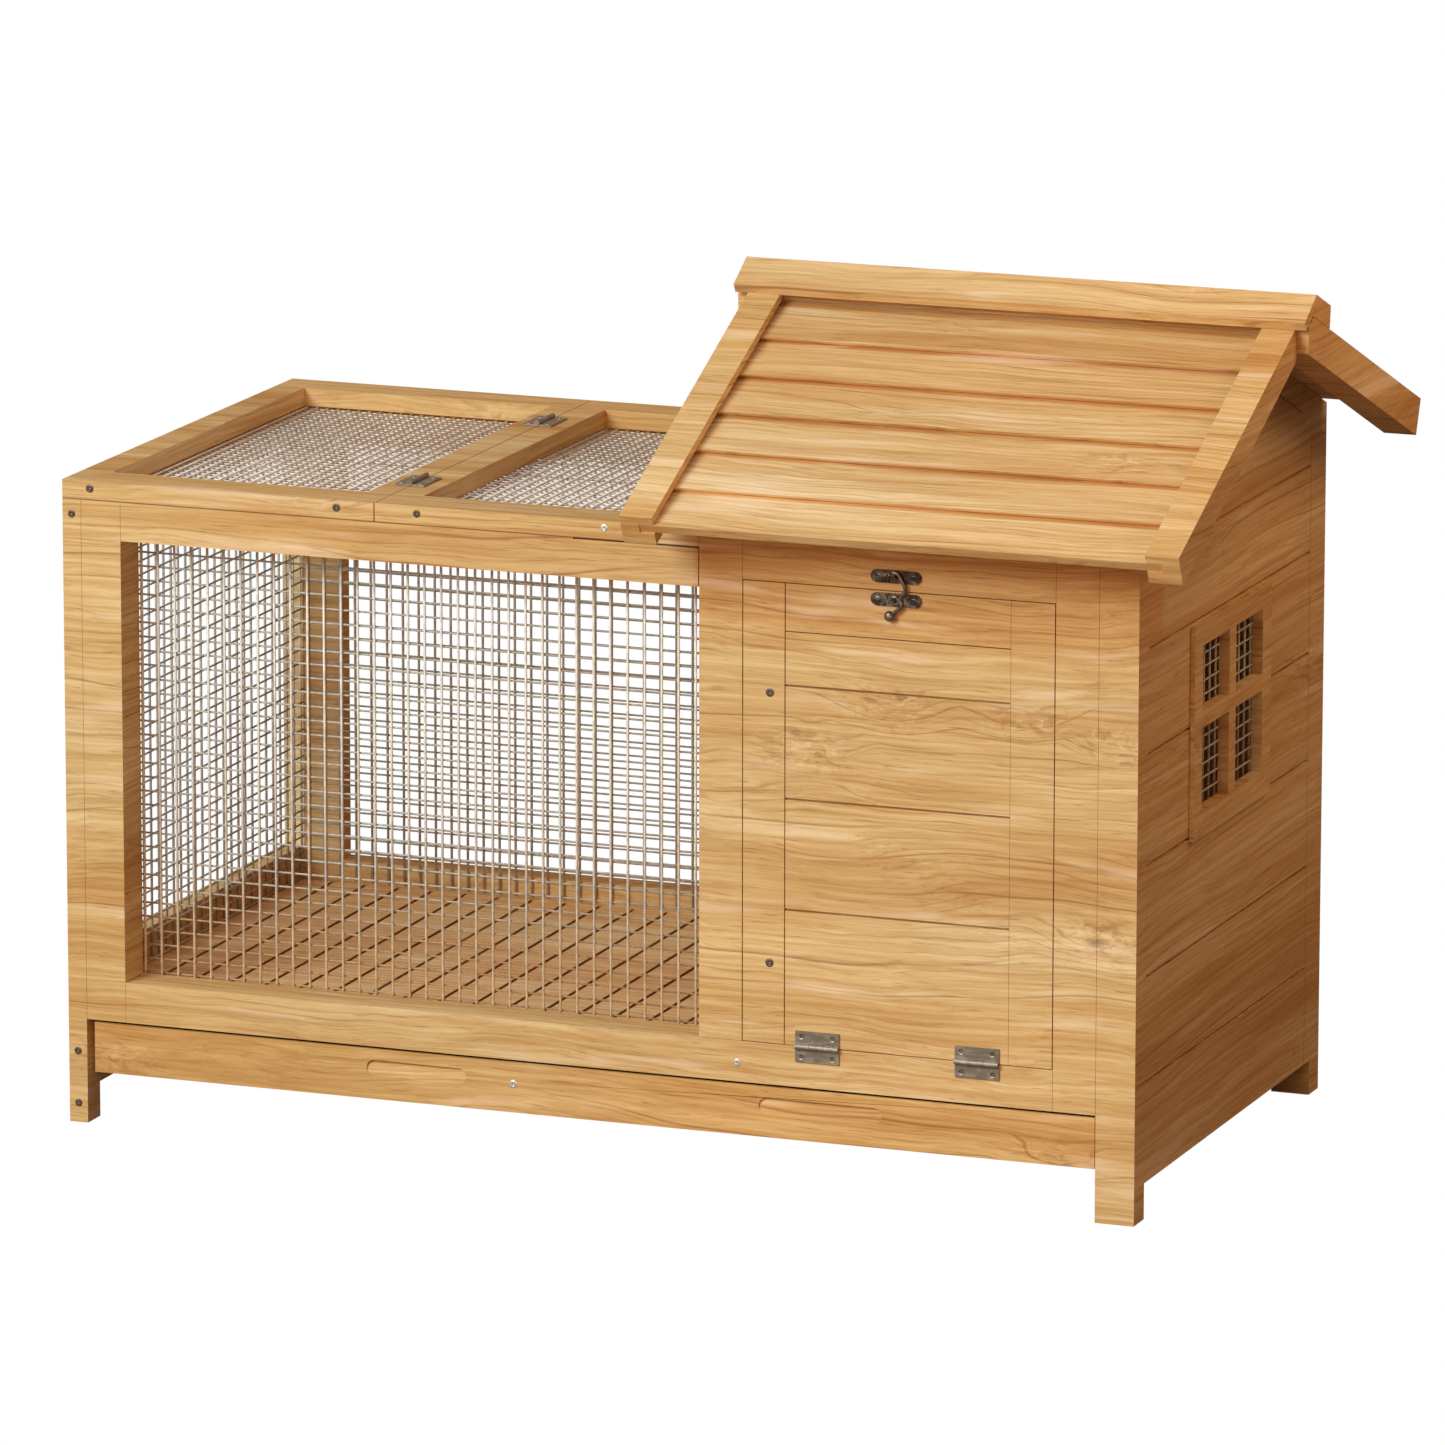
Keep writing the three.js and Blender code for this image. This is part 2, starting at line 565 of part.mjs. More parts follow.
// Two boards cover the ridge; the front one is steeper than the slope it rests on.
function addRidge() {
  const frontCap = slope(RIDGE, RIDGE_FRONT.pitch, 1);
  const rearCap = slope(RIDGE, REAR_PITCH, -1);
  const seam = meet(frontCap, RIDGE_FRONT.t, rearCap, 0);
  const front = [
    RIDGE,
    on(frontCap, -RIDGE_FRONT.width, 0),
    on(frontCap, -RIDGE_FRONT.width, RIDGE_FRONT.t),
    seam,
  ];
  const lower = on(rearCap, -RIDGE_REAR.width, 0);
  const seatDepth = -1.5 * GAP;
  const under = lower.x - 2;
  const rear = [
    meet(frontCap, RIDGE_FRONT.t + GAP, rearCap, 0),
    lower,
    new THREE.Vector2(under, heightAt(rearSlope, under, seatDepth)),
    meet(frontCap, RIDGE_FRONT.t + GAP, rearSlope, seatDepth),
  ];
  addPiece("ridge_board_front", alongX(front.reverse(), REAR_ROOF_X), PINE);
  addPiece("ridge_board_rear", alongX(rear.reverse(), REAR_ROOF_X), PINE);
}

// Door: two stiles, a top rail and grooved boards

function addDoor() {
  const y = [0, SIDE_T - 1];
  const x = [DOOR_X[0] + DOOR_GAP, DOOR_X[1] - DOOR_GAP];
  const z = [RAIL_Z[1] + 0.8, DOOR_TOP_Z - DOOR_GAP];
  const { inner, railZ } = DOOR;
  addBox("door_left_stile", [x[0], inner[0] - SEAM], y, z);
  addBox("door_right_stile", [inner[1] + GAP, x[1]], y, z);
  addBox("door_top_rail", inner, y, [railZ, z[1]]);
  const boards = boxGeometry(inner, y, [z[0], railZ - SEAM]);
  const grooves = DOOR.seams.map((seam) =>
    boxGeometry(
      [inner[0] - 1, inner[1] + 1],
      [-1, GROOVE.depth],
      [seam - GROOVE.width / 2, seam + GROOVE.width / 2],
    ),
  );
  addPiece("door_boards", cut(boards, ...grooves), PINE);
}

// Droppings tray: a front board with two finger scoops, a shallow pan, and its runners

// A scoop with round ends: deepest under its upper edge, running out to the face below.
function fingerScoop(x0, x1) {
  const outline = new THREE.Path();
  const r = SCOOP.height / 2;
  const depth = r * Math.tan(SCOOP.lean);
  outline.absarc(x1 - r, 0, r, -Math.PI / 2, Math.PI / 2, false);
  outline.absarc(x0 + r, 0, r, Math.PI / 2, (3 * Math.PI) / 2, false);
  const tool = alongY(outline.getPoints(8), [-SCOOP.reach, depth]);
  return tool.rotateX(-SCOOP.lean).translate(0, 0, SCOOP.z);
}

// The board's top leans back from a narrow edge, clear of the rail above.
function trayBoardOutline() {
  const [bottom, top] = TRAY_Z;
  const backTop = top - TRAY.lean;
  const corners = [[0, bottom], [SIDE_T, bottom], [SIDE_T, backTop], [TRAY.edge, top], [0, top]];
  return corners.map(([y, z]) => new THREE.Vector2(y, z));
}

function addTray() {
  const x = [SIDE_T + TRAY_CLEAR, JAMB_X - 2 * GAP];
  const scoops = SCOOP.x.map(([x0, x1]) => fingerScoop(x0, x1));
  addPiece("tray_front_board", cut(alongX(trayBoardOutline(), x), ...scoops), PINE);
  const panX = [x[0], x[1] - TRAY.rightClear];
  const panY = [SIDE_T + GAP, DEPTH - BACK_T - TRAY.backClear];
  const panZ = [TRAY_Z[0] + RUNNER_T + 2, TRAY_Z[1] - TRAY.drop];
  const hollow = boxGeometry(
    [panX[0] + TRAY.wall, panX[1] - TRAY.wall],
    [panY[0] + TRAY.wall, panY[1] - TRAY.wall],
    [panZ[0] + TRAY.wall, panZ[1] + 1],
  );
  addPiece("tray_pan", cut(boxGeometry(panX, panY, panZ), hollow), TRAY_SHEET);
}

function addRunners() {
  const x = [SIDE_T + GAP, WIDTH - SIDE_T - GAP];
  const y = [LEG_Y + 2 * GAP, DEPTH - BACK_T - GAP];
  const z = [TRAY_Z[0] + 1, TRAY_Z[0] + 1 + RUNNER_T];
  const { left, right, back } = RUNNER_W;
  const opening = rectangle([x[0] + left, x[1] - right], [y[0] - 1, y[1] - back]);
  const frame = alongZ(rectangle(x, y), z);
  addPiece("tray_runner_frame", cut(frame, alongZ(opening, [z[0] - 1, z[1] + 1])), DARK_PINE);
}

// Butt hinges. The pin runs along X and the leaves lie in X and Y, under the pin.

// Barrel segments of one leaf, as pairs of places along the pin.
function barrels(own) {
  const segment = HINGE.length / 3;
  const start = -HINGE.length / 2;
  return own.map((i) => [start + i * segment + GAP / 2, start + (i + 1) * segment - GAP / 2]);
}

function hingeLeaf(side, own) {
  const z = [-HINGE.barrel, -HINGE.barrel + HINGE.t];
  const edge = HINGE.barrel + GAP;
  const half = HINGE.length / 2;
  const reach = [side * edge, side * HINGE.leaf].sort((a, b) => a - b);
  const parts = [boxGeometry([-half, half], reach, z)];
  for (const [from, to] of barrels(own)) {
    const tab = [0, side * (edge + 1)].sort((a, b) => a - b);
    parts.push(boxGeometry([from, to], tab, z));
    parts.push(bar("x", HINGE.barrel, from, to));
  }
  return join(...parts);
}

function addHinge(name, place, moving) {
  const half = HINGE.length / 2;
  const pin = bar("x", HINGE.pin, -half, half, 12);
  const bore = bar("x", HINGE.bore, -half - 1, half + 1, 12);
  const fixed = join(hingeLeaf(-1, [1]), pin);
  const swinging = cut(hingeLeaf(1, [0, 2]), bore);
  const leaves = [[`${name}_fixed_leaf`, fixed], [`${name}_${moving}_leaf`, swinging]];
  for (const [leafName, leaf] of leaves) {
    place(addPiece(leafName, leaf, STEEL));
  }
}

function addHinges() {
  DOOR_HINGE_X.forEach((x, i) =>
    addHinge(`door_hinge_${i + 1}`, (leaf) => {
      leaf.rotation.x = Math.PI / 2;
      leaf.position.set(x, -HINGE_LIFT, RAIL_Z[1] + 0.4);
    }, "door"),
  );
  LID_HINGE_Y.forEach((y, i) =>
    addHinge(`lid_hinge_${i + 1}`, (leaf) => {
      leaf.rotation.z = Math.PI / 2;
      leaf.position.set((LID_X + PANEL_X[0]) / 2, y, RUN_HEIGHT + HINGE_LIFT);
    }, "lid"),
  );
}

// Latch: a hook turns on the door's plate and holds a stud on the header's plate

// A plate with round ends and a straight pin standing out of it.
function latchPlate(z, pinLength) {
  const r = LATCH_PLATE.width / 2;
  const reach = LATCH_PLATE.length / 2 - r;
  const outline = new THREE.Path();
  outline.absarc(LATCH_X + reach, z, r, -Math.PI / 2, Math.PI / 2, false);
  outline.absarc(LATCH_X - reach, z, r, Math.PI / 2, (3 * Math.PI) / 2, false);
  const plate = alongY(outline.getPoints(8), [-GAP - LATCH_PLATE.t, -GAP]);
  const pin = bar("y", LATCH_PIN_R, -GAP - pinLength, -GAP - 0.5).translate(LATCH_X, 0, z);
  return join(plate, pin);
}

// The hook's middle line rises past the stud and turns over it; its tail carries a knob.
function latchHook() {
  const face = -GAP - LATCH_PLATE.t - GAP;
  const line = new THREE.CatmullRomCurve3(
    HOOK.line.map(([x, z]) => new THREE.Vector3(LATCH_X + x, face - LATCH_T / 2, LATCH_Z.pivot + z)),
  );
  const section = rectangle([-LATCH_T / 2, LATCH_T / 2], [-HOOK.width / 2, HOOK.width / 2]);
  const shape = new THREE.Shape(section);
  const arm = new THREE.ExtrudeGeometry(shape, { steps: 20, extrudePath: line });
  const boss = bar("y", HOOK.bossR, face - LATCH_T, face).translate(LATCH_X, 0, LATCH_Z.pivot);
  const knob = new THREE.SphereGeometry(HOOK.knobR, 14, 10);
  const [knobX, knobZ] = HOOK.knob;
  knob.translate(LATCH_X + knobX, face - HOOK.knobR - 0.2, LATCH_Z.pivot + knobZ);
  const bore = bar("y", LATCH_BORE_R, face - 9, face + 5).translate(LATCH_X, 0, LATCH_Z.pivot);
  return cut(join(arm, boss, knob), bore);
}

function addLatch() {
  addPiece("latch_header_plate", latchPlate(LATCH_Z.stud, LATCH_PIN.stud), BRONZE);
  addPiece("latch_door_plate", latchPlate(LATCH_Z.pivot, LATCH_PIN.pivot), BRONZE);
  addPiece("latch_hook", latchHook(), BRONZE);
}

addLeftSide();
addFront();
addBack();
addRunTop();
addHouseFront();
addRightRearLeg();
addGable();
addWindow();
addPartition();
addFloor();
addRafters();
addFrontSlats();
addRearBoards();
addRidge();
addDoor();
addTray();
addRunners();
addHinges();
addLatch();

hutch.position.set(-REAR_ROOF_X[1] / 2, -(EAVE.x + REAR_EAVE.x) / 2, 0);

export default hutch;
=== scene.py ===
"""The looks of a small wooden rabbit hutch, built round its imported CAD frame. Metres, +Z up."""

import json
import math
import random

import bmesh
import bpy
from mathutils import Matrix, Vector

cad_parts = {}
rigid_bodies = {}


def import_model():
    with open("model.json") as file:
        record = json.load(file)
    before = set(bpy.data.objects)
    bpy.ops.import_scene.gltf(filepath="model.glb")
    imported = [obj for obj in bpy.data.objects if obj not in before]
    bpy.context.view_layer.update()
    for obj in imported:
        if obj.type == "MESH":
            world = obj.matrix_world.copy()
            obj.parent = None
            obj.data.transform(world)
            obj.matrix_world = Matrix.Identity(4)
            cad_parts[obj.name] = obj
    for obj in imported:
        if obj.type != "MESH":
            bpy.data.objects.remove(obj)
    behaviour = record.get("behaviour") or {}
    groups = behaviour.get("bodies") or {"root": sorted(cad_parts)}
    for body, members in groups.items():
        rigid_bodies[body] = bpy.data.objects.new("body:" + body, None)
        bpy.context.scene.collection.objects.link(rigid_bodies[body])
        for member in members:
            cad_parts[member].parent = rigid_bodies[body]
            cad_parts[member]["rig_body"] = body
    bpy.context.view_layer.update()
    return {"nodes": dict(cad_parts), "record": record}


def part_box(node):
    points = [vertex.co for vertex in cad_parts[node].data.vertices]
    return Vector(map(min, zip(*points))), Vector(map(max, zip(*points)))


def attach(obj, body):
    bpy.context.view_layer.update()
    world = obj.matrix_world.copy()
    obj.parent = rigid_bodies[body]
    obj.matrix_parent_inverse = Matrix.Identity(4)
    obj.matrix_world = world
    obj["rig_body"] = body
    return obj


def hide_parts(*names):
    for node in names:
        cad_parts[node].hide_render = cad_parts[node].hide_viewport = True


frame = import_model()
random.seed(11)

MM = 0.001
FRONT = Vector((0, -1, 0))
UP = Vector((0, 0, 1))
WHITE = (1, 1, 1, 1)

# Camera, solved from the corners of the hutch in the photo
AZIMUTH = math.radians(20.97)
ELEVATION = math.radians(12.46)
ROLL = math.radians(0.05)
DISTANCE = 8.624
TARGET = Vector((-0.0122, 0.0192, 0.3170))
LENS_MM = 268.8
SENSOR_MM = 36
CLIP_END = 100

# Each light's name, place, power in watts, width and colour
LIGHTS = (
    ("key", (-2.46, -5.28, 3.79), 425, 3.2, (0.80, 0.955, 1.0)),
    ("front_fill", (0.5, -2.1, 0.8), 10, 1.0, (1.0, 0.60, 0.38)),
    ("side_fill", (1.0, 0.2, 1.0), 2.4, 0.5, (1.0, 0.66, 0.42)),
    ("top_fill", (0.5, 0.0, 4.0), 9, 2.0, (0.55, 0.82, 1.0)),
)
WORLD_FILL = (1.0, 0.60, 0.41, 1)
WORLD_FILL_STRENGTH = 0.32
FLOOR_COLOUR = (0.16, 0.13, 0.11, 1)
FLOOR_SIZE = 14.0
FLOOR_DROP = 0.5 * MM

# Welded wire: pitch and radius of the first and the second layer
SIDE_PITCH = (14.42 * MM, 11.43 * MM)
SIDE_WIRE_R = (1.05 * MM, 0.82 * MM)
TOP_PITCH = (9.2 * MM, 9.2 * MM)
TOP_WIRE_R = (0.9 * MM, 0.8 * MM)
WIRE_SLACK_MM = 0.12
WIRE_SKEW_MM = 0.15
WIRE_GRAIN = (30.0, 30.0, 30.0)

# The materials of a panel's two layers, where they aren't dull in both
# Painted light and shade: the three wire materials are lighter and darker copies of one galvanised wire
WIRE_LOOKS = {
    "front_mesh": ("wire", "level_wire"),
    "run_lid_mesh": ("lid_wire", "lid_wire"),
    "top_panel_mesh": ("lid_wire", "lid_wire"),
}
DULL_LOOKS = ("level_wire", "level_wire")

# Eased edges, by a part of the node's name
BEVEL = {
    "roof_slat": 0.7 * MM,
    "rafter": 1.2 * MM,
    "ridge": 1.4 * MM,
    "hinge": 0.15 * MM,
    "latch": 0.3 * MM,
}
WOOD_BEVEL = 0.7 * MM

# Boards in a warmer or a paler pine than the rest. The paler roof slats and ridge board are painted
# light: the sky's light on the roof's top faces.
TINTS = {
    "tray_front_board": "warm_timber",
    "front_roof_slat": "slat_timber",
    "ridge_board": "pale_timber",
}
LINE_COLOUR = (136, 78, 30)
# Paler pine for the roof's top faces: painted light
PALE_TONES = ((236, 209, 162), (221, 187, 134), (200, 157, 101))

# Soft steps that bound a change of colour, each from where it is 0 to where it is 1
# Painted shade of the eave's shadow on the house front
EAVE_SHADE_LEFT = (0.050, 0.057)
EAVE_SHADE_DEPTH = (-0.150, -0.160)
EAVE_SHADE_FOOT = (0.420, 0.480)
EAVE_SHADE_HEAD = (0.526, 0.522)
# Painted shade in the gap where the lid meets the top rail
GAP_SHADE_FOOT = (-1.1 * MM, -0.4 * MM)
GAP_SHADE_HEAD = (0.9 * MM, 0.2 * MM)
# Painted shadow under each front roof slat's lower edge
LAP_SHADOW_REACH = 2.0 * MM
LAP_SHADOW_FOOT = (0.0, 0.07)
LAP_SHADOW_HEAD = (0.18, 0.11)
# Painted light and shade on the run's front wire near its floor
FLOOR_SHADING_TOP = 120 * MM
FLOOR_SHADING_FULL = 45 * MM

# Screw heads: rings as shares of the radius, and the cross recess within them
HEAD_SHARES = (0.16, 0.32, 0.48, 0.64, 0.84, 1.0)
HEAD_STEPS = 24
HEAD_SKIRT = 0.8 * MM
CROSS_HALF_WIDTH = 0.14
CROSS_REACH = 0.62
CROSS_DEPTH = 0.55 * MM

# Hinges: the stem of their names, the moving body, the axis across the pin, and the way they face
HINGES = (
    ("door", "door", 2, FRONT),
    ("lid", "run_lid", 0, UP),
)
LEAF_T = 1.2 * MM
HOLE_FROM_EDGE = 4.3 * MM
HOLE_FROM_END = 5.2 * MM
EYELET_STEPS = 20

# Latch: each plate and its body. The ribs are left of the middle, sunk where the hook passes.
LATCH_PLATES = (("latch_header_plate", "hutch"), ("latch_door_plate", "door"))
PLATE_T = 1.4 * MM
PLATE_SCREW_FROM_END = 6 * MM
RIB_OFFSETS = (-8.4 * MM, -5.6 * MM)
RIB_HALF = Vector((0, 0, 4.4 * MM))
RIB_R = 0.9 * MM
RIB_SUNK = {"door": 0.7 * MM, "hutch": 0}

# Hook, in millimetres: its path right of and above the pivot, and profiles of radius and height
HOOK_PATH = (
    (-4.0, -12.0), (-0.2, -9.2), (3.4, -6.4), (5.2, -3.4), (4.0, 0.2), (5.6, 3.8),
    (8.0, 7.2), (7.8, 11.6), (5.2, 16.2), (2.4, 20.5), (-1.0, 21.8), (-3.2, 21.4),
)
KNOB_PROFILE = ((0.0, 2.6), (1.8, 2.4), (3.4, 1.6), (4.2, 0.5), (4.4, -0.6), (3.9, -1.6), (0.0, -1.7))
BOSS_PROFILE = ((1.75, 2.9), (3.4, 2.9), (4.1, 2.3), (4.3, 1.2), (4.3, 0.1), (1.75, 0.1))
HOOK_R = 1.5 * MM
HOOK_TIP_SHARE = 0.7
HOOK_FORWARD = 3.2 * MM
TURNED_STEPS = 24


# Node trees

class Tree:
    """A short way to write a node tree: each call adds a node and sets or links its inputs."""

    def __init__(self, owner):
        owner.use_nodes = True
        self.tree = owner.node_tree
        self.tree.nodes.clear()

    def add(self, kind, inputs=None, **settings):
        node = self.tree.nodes.new(kind)
        for name, value in settings.items():
            setattr(node, name, value)
        for key, value in (inputs or {}).items():
            socket = node.inputs[key]
            if isinstance(value, bpy.types.NodeSocket):
                self.tree.links.new(value, socket)
            else:
                socket.default_value = value
        return node

    def math(self, operation, *values):
        numbered = dict(enumerate(values))
        return self.add("ShaderNodeMath", numbered, operation=operation).outputs[0]

    def times(self, a, b):
        return self.math("MULTIPLY", a, b)

    def coordinate(self, output):
        return self.add("ShaderNodeTexCoord").outputs[output]

    def axes(self, vector):
        """The outputs "X", "Y" and "Z" of a vector."""
        return self.add("ShaderNodeSeparateXYZ", {0: vector}).outputs

    def scaled(self, vector, scale):
        inputs = {0: vector, 1: scale}
        return self.add("ShaderNodeVectorMath", inputs, operation="MULTIPLY").outputs[0]

    def noise(self, vector, scale, detail=2.0, roughness=0.5, distortion=0.0):
        inputs = {"Scale": 1.0, "Detail": detail, "Roughness": roughness, "Distortion": distortion}
        inputs["Vector"] = self.scaled(vector, scale)
        return self.add("ShaderNodeTexNoise", inputs).outputs["Fac"]

    def span(self, value, low, high, to_low=0.0, to_high=1.0):
        """A smooth step from to_low to to_high, while value goes from low to high."""
        inputs = {"Value": value, "From Min": low, "From Max": high, "To Min": to_low, "To Max": to_high}
        return self.add("ShaderNodeMapRange", inputs, interpolation_type="SMOOTHSTEP").outputs[0]

    def ramp(self, value, *stops):
        node = self.add("ShaderNodeValToRGB", {"Fac": value})
        elements = node.color_ramp.elements
        while len(elements) < len(stops):
            elements.new(0.5)
        for element, (place, colour) in zip(elements, stops):
            element.position = place
            element.color = colour
        return node.outputs["Color"]

    def mix(self, factor, a, b, blend="MIX"):
        inputs = {0: factor, 6: a, 7: b}
        return self.add("ShaderNodeMix", inputs, data_type="RGBA", blend_type=blend).outputs[2]

    def unless_camera(self, first, second):
        """The second shader where the camera looks straight at it, and the first elsewhere."""
        seen = self.add("ShaderNodeLightPath").outputs["Is Camera Ray"]
        inputs = {0: seen, 1: first.outputs[0], 2: second.outputs[0]}
        return self.add("ShaderNodeMixShader", inputs)

    def principled(self, colour, rough, bump, metallic, shine):
        inputs = {"Base Color": colour, "Roughness": rough, "Normal": bump.outputs[0]}
        inputs["Metallic"] = metallic
        inputs["Specular IOR Level"] = shine
        return self.add("ShaderNodeBsdfPrincipled", inputs)

    def surface(self, shader):
        self.add("ShaderNodeOutputMaterial", {"Surface": shader.outputs[0]})


def linear(value):
    """One channel's screen value, from 0 to 255, as linear light."""
    if value < 11:
        return value / 255 / 12.92
    return ((value / 255 + 0.055) / 1.055) ** 2.4


def srgb(red, green, blue):
    """A colour given as screen values, as linear RGBA."""
    return (linear(red), linear(green), linear(blue), 1.0)


# Where on the hutch a material changes

def faces_sideways(t):
    """Faces that look to the left or right."""
    normal = t.axes(t.coordinate("Normal"))
    return t.math("GREATER_THAN", t.math("ABSOLUTE", normal["X"]), 0.7)


def painted_eave_shade(t):
    """Painted shade: the house front just under the eave, darkened where the eave's shadow falls."""
    at = t.axes(t.coordinate("Object"))
    height = t.times(t.span(at["Z"], *EAVE_SHADE_FOOT), t.span(at["Z"], *EAVE_SHADE_HEAD))
    house = t.times(t.span(at["X"], *EAVE_SHADE_LEFT), t.span(at["Y"], *EAVE_SHADE_DEPTH))
    return t.times(height, house)


def painted_lid_gap_shade(t):
    """Painted shade: the dark line along the front, in the gap where the lid and the fixed panel lie on
    the top rail.
    """
    at = t.axes(t.coordinate("Object"))
    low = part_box("run_lid_frame")[0]
    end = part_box("house_front_post")[0].x
    above = t.math("SUBTRACT", at["Z"], low.z)
    line = t.times(t.span(above, *GAP_SHADE_FOOT), t.span(above, *GAP_SHADE_HEAD))
    front = t.math("LESS_THAN", at["Y"], low.y + 2 * MM)
    run = t.math("LESS_THAN", at["X"], end)
    return t.times(line, t.times(front, run))


def painted_lap_shadow(t):
    """Painted shadow along the lower edge of each front roof slat, and on the slat it lies on."""
    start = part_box("front_roof_slat_2")[0].z
    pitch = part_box("front_roof_slat_3")[0].z - start
    height = t.axes(t.coordinate("Object"))["Z"]
    above = t.math("DIVIDE", t.math("SUBTRACT", height, start - LAP_SHADOW_REACH), pitch)
    phase = t.math("FRACT", above)
    band = t.times(t.span(phase, *LAP_SHADOW_FOOT), t.span(phase, *LAP_SHADOW_HEAD))
    return t.times(band, t.math("GREATER_THAN", above, 0.0))


def painted_floor_shading(t):
    """The foot of the run's front wire, near the floor, where its colour is changed as painted light and
    shade.
    """
    at = t.axes(t.coordinate("Object"))
    low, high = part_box("front_mesh")
    front = t.math("LESS_THAN", at["Y"], high.y + 5 * MM)
    return t.times(t.span(at["Z"], low.z + FLOOR_SHADING_TOP, low.z + FLOOR_SHADING_FULL), front)


# Wood

def grain_space(t):
    """Grain runs along X, and along Y, more drawn out, on faces that look to the left or right."""
    place = t.coordinate("Object")
    at = t.axes(place)
    turned_axes = {"X": t.times(at["Y"], 0.6), "Y": at["X"], "Z": at["Z"]}
    sideways = t.add("ShaderNodeCombineXYZ", turned_axes).outputs[0]
    inputs = {0: faces_sideways(t), 4: place, 5: sideways}
    return t.add("ShaderNodeMix", inputs, data_type="VECTOR").outputs[1]


def shifted(t, vector, amount, scale, detail=2.0):
    """The same place moved across the grain by a noise, so that straight fibres wander."""
    lift = t.times(t.math("SUBTRACT", t.noise(vector, scale, detail), 0.5), amount)
    bend = t.add("ShaderNodeCombineXYZ", {"Y": lift, "Z": lift})
    return t.add("ShaderNodeVectorMath", {0: vector, 1: bend.outputs[0]}, operation="ADD").outputs[0]


def thin_lines(t, value, width):
    """One thin soft line each time value passes a whole number."""
    saw = t.math("FRACT", value)
    return t.times(t.span(saw, 0.0, width), t.span(saw, 3.2 * width, width))


def ring_count(t, vector, per_metre, scale, sway, extra):
    """A number that rises across the grain: each whole step is one ring, swayed by a broad noise."""
    at = t.axes(vector)
    across = t.times(t.math("ADD", at["Y"], at["Z"]), per_metre)
    swayed = t.math("ADD", across, t.times(t.noise(vector, scale, 2.0), sway))
    return t.math("ADD", swayed, extra)


def knots(t, grain):
    """Where knots are: how near one is, and its small dark core."""
    place = t.scaled(grain, (4.6, 10.5, 10.5))
    cells = t.add("ShaderNodeTexVoronoi", {"Vector": place, "Scale": 1.0}).outputs
    chance = t.add("ShaderNodeSeparateColor", {0: cells["Color"]}).outputs[0]
    chosen = t.math("GREATER_THAN", chance, 0.5)
    near = t.times(t.span(cells["Distance"], 0.32, 0.0), chosen)
    core = t.times(t.span(cells["Distance"], 0.07, 0.02), chosen)
    return near, core


def broad_tones(t, grain, tones):
    """Slow changes from light to dark and to a warmer hue, and painted shade of the eave's shadow on the
    house front.
    """
    light, mid, dark = tones
    tone = t.noise(grain, (1.2, 15.0, 15.0), 4.0, 0.6, 0.3)
    colour = t.ramp(tone, (0.30, dark), (0.50, mid), (0.70, light))
    warmth = t.span(t.noise(grain, (1.5, 4.0, 4.0)), 0.42, 0.62)
    colour = t.mix(warmth, colour, (1.0, 0.925, 0.82, 1), "MULTIPLY")
    # Painted shade: the house front under the eave is darkened where the eave's shadow falls
    return t.mix(painted_eave_shade(t), colour, (0.95, 0.80, 0.64, 1), "MULTIPLY")


def streaked(t, colour, wavy, fibres):
    """Streaks a few millimetres wide, and fibres as fine as hairs."""
    strands = t.span(t.noise(wavy, (2.6, 110.0, 110.0), 3.0, 0.6), 0.32, 0.68)
    streak = t.ramp(strands, (0.0, (0.86, 0.74, 0.58, 1)), (1.0, (1.10, 1.15, 1.22, 1)))
    colour = t.mix(0.5, colour, streak, "MULTIPLY")
    hairs = t.span(fibres, 0.3, 0.7)
    hair = t.ramp(hairs, (0.0, (0.85, 0.75, 0.61, 1)), (1.0, (1.09, 1.14, 1.19, 1)))
    return t.mix(0.9, colour, hair, "MULTIPLY")


def ring_lines(t, grain, wavy, near):
    """How strong the broad and the fine ring lines are. Both bend round knots and fade in places."""
    broad = ring_count(t, grain, 46.0, (1.3, 9.0, 9.0), 2.6, t.times(near, 1.3))
    where = t.span(t.noise(grain, (2.6, 18.0, 18.0), 3.0), 0.47, 0.63)
    main = t.times(thin_lines(t, broad, 0.035), t.math("ADD", t.times(where, 0.5), 0.10))
    fine = ring_count(t, wavy, 130.0, (2.4, 26.0, 26.0), 3.0, t.times(near, 2.4))
    there = t.span(t.noise(wavy, (5.0, 34.0, 34.0)), 0.42, 0.60)
    second = t.times(thin_lines(t, fine, 0.08), t.times(there, 0.34))
    return main, second


def curled(t, colour, grain, wavy, near, light, line):
    """Curly dark and pale figure beside the knots, and cream streaks everywhere."""
    curl = t.noise(shifted(t, grain, 0.03, (30.0, 40.0, 40.0)), (40.0, 160.0, 160.0), 3.0, 0.7)
    dark = t.times(t.times(near, t.span(curl, 0.52, 0.64)), 0.55)
    colour = t.mix(dark, colour, line)
    red, green, blue = light[:3]
    pale = (min(1.0, 1.22 * red), min(1.0, 1.22 * green), 1.5 * blue, 1)
    glint = t.times(t.times(near, t.span(curl, 0.48, 0.36)), 0.45)
    cream = t.times(t.span(t.noise(wavy, (5.0, 60.0, 60.0), 3.0), 0.58, 0.72), 0.4)
    return t.mix(t.math("MAXIMUM", glint, cream), colour, pale)


